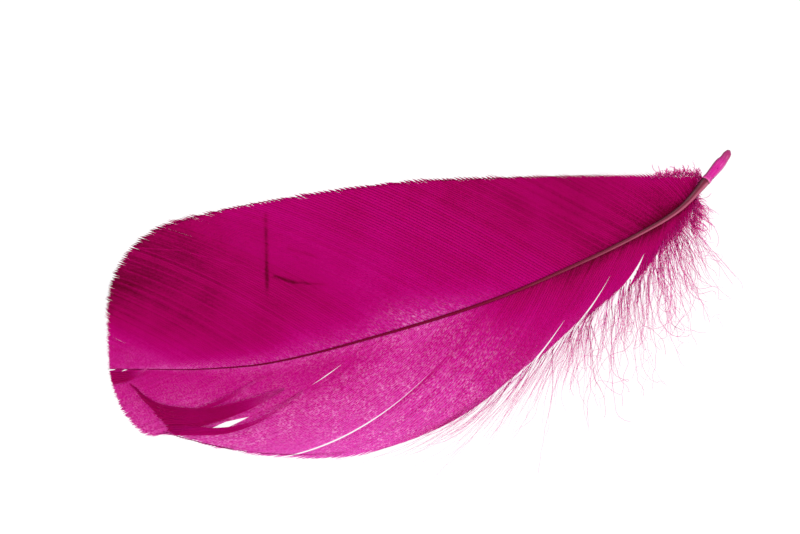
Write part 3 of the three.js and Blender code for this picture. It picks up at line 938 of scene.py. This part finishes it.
# Short curls round the base of both vanes, and the threads of the barbs that rim the vanes' edges.
curlStrands = [
    (131.8, 0, 132.8, 1, 131.9, 1.6), (133.4, -0.3, 134.4, 0.8, 133.6, 1.5),
    (134.8, -0.6, 135.8, 0.6, 135, 1.4), (136.2, -1, 137.3, 0.2, 136.4, 1),
    (137.4, -1.3, 138.6, 0, 137.6, 0.9), (138.6, -1.6, 139.8, -0.3, 139, 0.6),
    (139.8, -2, 141, -0.8, 140.2, 0), (141.2, -2.8, 142.3, -1.7, 142.2, -0.8),
    (141.4, -3.6, 142.3, -3, 142.5, -2.4), (141, -4.8, 141.8, -4.4, 142.1, -3.8),
    (139.4, -7.4, 140.7, -8, 141.1, -9), (139.1, -8.6, 140.7, -9.9, 140.6, -11.3),
    (138.5, -10, 140.3, -12.2, 139.8, -14), (137.6, -11.6, 139.4, -14.5, 138.8, -16.8),
    (136.6, -13, 138.2, -16.6, 137.4, -19.4),
]
rimStrands = [
    (20, 26.5, 34.2, 26.9, 54, 22.9), (50, 23.5, 71.6, 19.9, 90, 14.7),
    (86, 15.6, 106.6, 9.5, 124, 3.6), (7.2, -17.6, 14.5, -23.4, 22, -27.4),
    (20, -26.4, 31, -32.6, 46, -36.3),
]
# Wisps that stand out: each is a list of the plan places that it passes, x and y in turn.
wisps = [
    [136.5, -13.5, 138, -17.5, 140.2, -23.2, 141.7, -28.1, 141.3, -30.4, 139.8, -29.8],
    [137.2, -13.2, 138, -17.1, 139, -21.1, 141.2, -26],
    [124.5, -19.5, 128.3, -20.5, 130.6, -23, 132.2, -25.5, 130.3, -27.2, 128.4, -26.2, 128.1, -23.3],
    [120.1, -21.5, 119.8, -25.3, 120.4, -29.8, 122.1, -33.3, 125.2, -34.9, 127.9, -33.4],
    [125.6, -33.8, 127.6, -32.4, 129.5, -31], [125.6, -33.8, 127.4, -35.6],
    [125.6, -33.8, 124.2, -35.4], [125.6, -33.8, 124.4, -32],
    [97.5, -29.5, 96.7, -31.9, 94.5, -38.1, 90.4, -45.4, 84.6, -57.2],
    [97.5, -29.5, 96.9, -31.9, 92.2, -35.6, 88.5, -39.9],
    [105, -27, 103.8, -34.4, 101.8, -40.7, 99.9, -48.8],
    [102.5, -27.5, 101.2, -33.5, 99.5, -38.2, 96.3, -43.9],
    [92, -31, 87.2, -33.2, 73.6, -39.5, 62.7, -40.8, 50.7, -40.4],
    [90, -32, 81.9, -35.4, 72.3, -39.1, 64.1, -40.3, 55.8, -42.5],
    [96, -30, 93.3, -32.6, 83.8, -39.5, 75.1, -44.9, 67, -48.1],
    [98, -29, 95.7, -33.2, 90.9, -38.6, 86.4, -42.5, 80.7, -46.9],
    [140.6, -2.4, 141.6, -0.7, 141.6, 0.8, 142.8, 0.6], [140.2, -7.9, 141.9, -8.2, 143.3, -7.6],
]
longStrands = [
    (136, -12.3, 139.4, -20.1, 137.6, -31), (133.5, -14.9, 134.1, -24.6, 133.1, -36),
    (130, -16.8, 128, -29.7, 126.6, -41.5), (126.1, -18.7, 120.6, -32.6, 121, -43.7),
    (121.7, -21.4, 117.3, -32.5, 112.9, -46), (116.2, -23, 110.9, -33.2, 105.8, -47.7),
    (108.4, -26.1, 105.7, -35.5, 99.1, -48.2), (102.8, -28, 97.7, -36.5, 90.1, -47.2),
]
pathForm = {
    "points": 16, "height": 0.26, "rise": 0.5, "wispPoints": 25, "wispTones": (0.2, 0.7), "wispSeed": 4,
}


def fibreGuide(paths, steps):
    # each path gives the plan place at a share of its way, and has a tone
    points, edges, tones = [], [], []
    for placeAt, tone in paths:
        for step in range(steps):
            share = step / (steps - 1)
            x, y = placeAt(share)
            if step:
                edges.append((len(points) - 1, len(points)))
            points.append(toFrame(x, y, lift(x, y) + pathForm["height"] + pathForm["rise"] * share))
            tones.append(tone)
    mesh = bpy.data.meshes.new("fibreGuide")
    mesh.from_pydata(points, edges, [])
    setAttribute(mesh, "tone", tones)
    return mesh


def strandGuide(rows, form):
    # paths of strands between the rows: their ends are scattered, and most are cut short
    random.seed(form["strandSeed"])
    paths, last = [], len(rows) - 1
    for i in range(form["count"]):
        at = last * ((i + random.uniform(0, form["jitter"])) / form["count"]) ** form["crowding"]
        if form["jitter"] == 0:
            at = i
        k = min(int(at), last - 1)
        route = [a + (b - a) * (at - k) for a, b in zip(rows[k], rows[k + 1])]
        size = form["shortest"] + (1 - form["shortest"]) * random.random() ** form["skew"]
        spread = math.dist(route[:2], route[4:]) * size * form["scatter"]
        for j in (0, 1):
            start = route[j]
            route[j] += random.uniform(-1, 1) * form["startScatter"]
            route[2 + j] = route[j] + (route[2 + j] - start) * size + random.uniform(-0.7, 0.7) * spread
            route[4 + j] = route[j] + (route[4 + j] - start) * size + random.uniform(-1, 1) * spread
        tone = random.uniform(*form["tones"])
        paths.append((lambda share, route=route: bent(route, share), tone))
    return fibreGuide(paths, pathForm["points"])


def wispGuide():
    random.seed(pathForm["wispSeed"])
    paths = []
    for wisp in wisps:
        last = len(wisp) // 2 - 1
        rows = [(i / last, *wisp[2 * i:2 * i + 2]) for i in range(last + 1)]
        tone = random.uniform(*pathForm["wispTones"])
        paths.append((lambda share, rows=rows: between(rows, share), tone))
    return fibreGuide(paths, pathForm["wispPoints"])


def fibreTree():
    tree, given = newTree("downFibres", ["Fibres", "Steps", "Seed"], [
        "Root Radius", "Tip Radius", "Splay", "Clumping", "Wander", "Wander Scale", "Ripple", "Curl",
        "Shortest", "Barbule Step", "Barbule Length", "Barbule Radius",
    ])
    fibres = alter(given["Geometry"], "MeshToCurve")
    fibres = alter(fibres, "DuplicateElements", {"Amount": given["Fibres"]}, domain="SPLINE")
    fibres, index = capture(fibres, "CURVE", read(tree, "GeometryNodeInputIndex"))

    def chance(low, high, draw, item=index):
        return randomValue(low, high, item, given["Seed"] + draw)

    fibres = alter(fibres, "TrimCurve", {"End": chance(given["Shortest"], 1.0, 1)})
    fibres = alter(fibres, "ResampleCurve", {"Count": given["Steps"]})
    factor = read(tree, "GeometryNodeSplineParameter", output="Factor")
    length = read(tree, "GeometryNodeSplineLength", output="Length")
    fibres, factor, length = capture(fibres, "POINT", factor, length)

    # each fibre leans away from its strand, wanders, ripples and curls, more towards its tip
    sway = factor * length
    lean = combine(chance(-1.0, 1.0, 2), chance(-1.0, 1.0, 3), chance(-0.3, 0.3, 4))
    lean = lean * (factor ** given["Clumping"] * length * given["Splay"])
    here = read(tree, "GeometryNodeInputPosition")
    field = here * given["Wander Scale"] + combine(index * 1.7, 0.0, given["Seed"]) + lean * 60.0
    wander = noiseAt(field, 1.0, 0.5, "Color") - (0.5, 0.5, 0.5)
    wander = wander * (1.0, 1.0, 0.3) * (sway * given["Wander"])
    ripple = noiseAt(here * 420.0 + combine(index, given["Seed"], 3.0), 1.0, 0.0, "Color") - (0.5, 0.5, 0.5)
    ripple = ripple * (1.0, 1.0, 0.4) * (sway * given["Ripple"])
    angle = chance(-9.0, 9.0, 5).reckon("MULTIPLY_ADD", factor, chance(0.0, 6.3, 6))
    sine = angle.reckon("SINE")
    curl = combine(angle.reckon("COSINE"), sine, sine * 0.4)
    curl = curl * (sway * factor * chance(0.0, 1.0, 12) ** 2.0 * given["Curl"])
    moved = (here + (lean + (wander + ripple + curl))).reckon("MAXIMUM", (-1.0, -1.0, 0.0002))
    fibres = alter(fibres, "SetPosition", {"Position": moved})

    fibres, tone, tint = capture(fibres, "POINT", named(tree, "tone"), chance(0.0, 1.0, 7))
    radius = mixValue(factor ** 0.7, given["Root Radius"], given["Tip Radius"]) * chance(0.6, 1.3, 13)
    rim = read(tree, "GeometryNodeCurvePrimitiveCircle", {"Resolution": 3, "Radius": 1.0})
    stems = alter(fibres, "CurveToMesh", {"Profile Curve": rim, "Scale": radius, "Fill Caps": True})

    # barbules: short needles on both sides of each fibre
    inputs = {"Curve": fibres, "Length": given["Barbule Step"]}
    marks = addNode(tree, "GeometryNodeCurveToPoints", inputs, mode="LENGTH").outputs
    tangent, number = Output(tree, marks["Tangent"]), read(tree, "GeometryNodeInputIndex")
    sign = number.reckon("MODULO", 2.0) * 2.0 - 1.0
    scatter = combine(
        chance(-0.4, 0.4, 8, number), chance(-0.4, 0.4, 9, number), chance(-0.5, 0.5, 10, number))
    heading = tangent.reckon("CROSS_PRODUCT", (0.0, 0.0, -1.0)) * sign + tangent + scatter
    long = given["Barbule Length"] * chance(0.5, 1.0, 11, number)
    cone = {"Vertices": 3, "Radius Top": 0.0, "Radius Bottom": 1.0, "Depth": 1.0}
    needles = alter(Output(tree, marks[0]), "InstanceOnPoints", {
        "Instance": read(tree, "GeometryNodeMeshCone", cone),
        "Rotation": read(tree, "FunctionNodeAlignRotationToVector", {"Vector": heading}, axis="Z"),
        "Scale": combine(given["Barbule Radius"], given["Barbule Radius"], long),
    })
    both = addNode(tree, "GeometryNodeJoinGeometry")
    for part in (alter(needles, "RealizeInstances"), stems):
        tree.links.new(part.socket, both.inputs[0])
    kept = {"barbUV": combine(0.3, factor, 0.0), "tone": tone, "tint": tint}
    return finishTree(given, Output(tree, both.outputs[0]), kept)


fibres = fibreTree()
downMaterial = barbMaterial("dyedDown", 0.82, 0.55, 0.1, 0.5)
# How strands are strewn between their rows, then the shape of their fibres. Each piece below says
# where it differs.
downForm = {
    "count": 150, "jitter": 1, "crowding": 1.75, "startScatter": 0.4, "scatter": 0.24, "shortest": 0.16,
    "skew": 2.6, "tones": (0.15, 0.75), "strandSeed": 5,
    "Fibres": 2, "Steps": 28, "Root Radius": 0.00008, "Tip Radius": 0.00003, "Splay": 0.1, "Clumping": 1.4,
    "Wander": 0.62, "Wander Scale": 120.0, "Ripple": 0.22, "Curl": 0.3, "Shortest": 0.6,
    "Barbule Step": 0.0012, "Barbule Length": 0.0006, "Barbule Radius": 0.000012, "Seed": 3,
    "Material": downMaterial,
}
longForm = {
    **downForm, "count": 84, "crowding": 1, "startScatter": 1.2, "scatter": 0.16, "shortest": 0.45,
    "skew": 1, "tones": (0.4, 0.95), "strandSeed": 12,
    "Root Radius": 0.00007, "Wander": 0.45, "Wander Scale": 100.0, "Ripple": 0.08, "Curl": 0.4,
    "Barbule Step": 0.0016, "Seed": 21,
}
hairForm = {
    **downForm, "count": 76, "crowding": 1, "startScatter": 0.6, "scatter": 0.08, "shortest": 0.35,
    "skew": 0.9, "tones": (0.3, 0.8), "strandSeed": 6,
    "Root Radius": 0.000045, "Tip Radius": 0.00002, "Wander": 0.18, "Wander Scale": 50.0, "Ripple": 0.01,
    "Curl": 0.02, "Shortest": 0.7, "Barbule Step": 0.002, "Barbule Length": 0.0004, "Seed": 8,
}
curlForm = {
    **downForm, "count": 210, "crowding": 1, "startScatter": 0.5, "scatter": 0.25, "shortest": 0.3,
    "skew": 1.8, "tones": (0.3, 0.8), "strandSeed": 7,
    "Steps": 16, "Root Radius": 0.00013, "Tip Radius": 0.00006, "Splay": 0.3, "Clumping": 1.0,
    "Wander": 0.8, "Wander Scale": 600.0, "Ripple": 0.5, "Curl": 0.6, "Barbule Length": 0.0003, "Seed": 13,
}
rimForm = {
    **hairForm, "count": len(rimStrands), "jitter": 0, "startScatter": 0, "scatter": 0, "shortest": 1,
    "skew": 1, "tones": (0.85, 0.95), "strandSeed": 9,
    "Root Radius": 0.00008, "Tip Radius": 0.00005, "Splay": 0.008, "Wander": 0.016, "Curl": 0.0,
    "Ripple": 0.0, "Shortest": 0.9, "Seed": 17, "Material": vaneMaterial,
}
wispForm = {
    **downForm, "Root Radius": 0.00005, "Tip Radius": 0.000026, "Splay": 0.05, "Wander": 0.15,
    "Ripple": 0.04, "Curl": 0.03, "Seed": 19,
}
strandPieces = (
    ("baseDown", downStrands, downForm), ("longDown", longStrands, longForm),
    ("edgeHairs", edgeStrands, hairForm), ("baseCurls", curlStrands, curlForm),
    ("edgeRim", rimStrands, rimForm),
)
downPieces = [grow(name, strandGuide(rows, form), fibres, form) for name, rows, form in strandPieces]
downPieces.append(grow("longWisps", wispGuide(), fibres, wispForm))

for piece in (shaft, narrowVane, wideVane, *lockPieces, *downPieces):
    join(piece)

print("done")
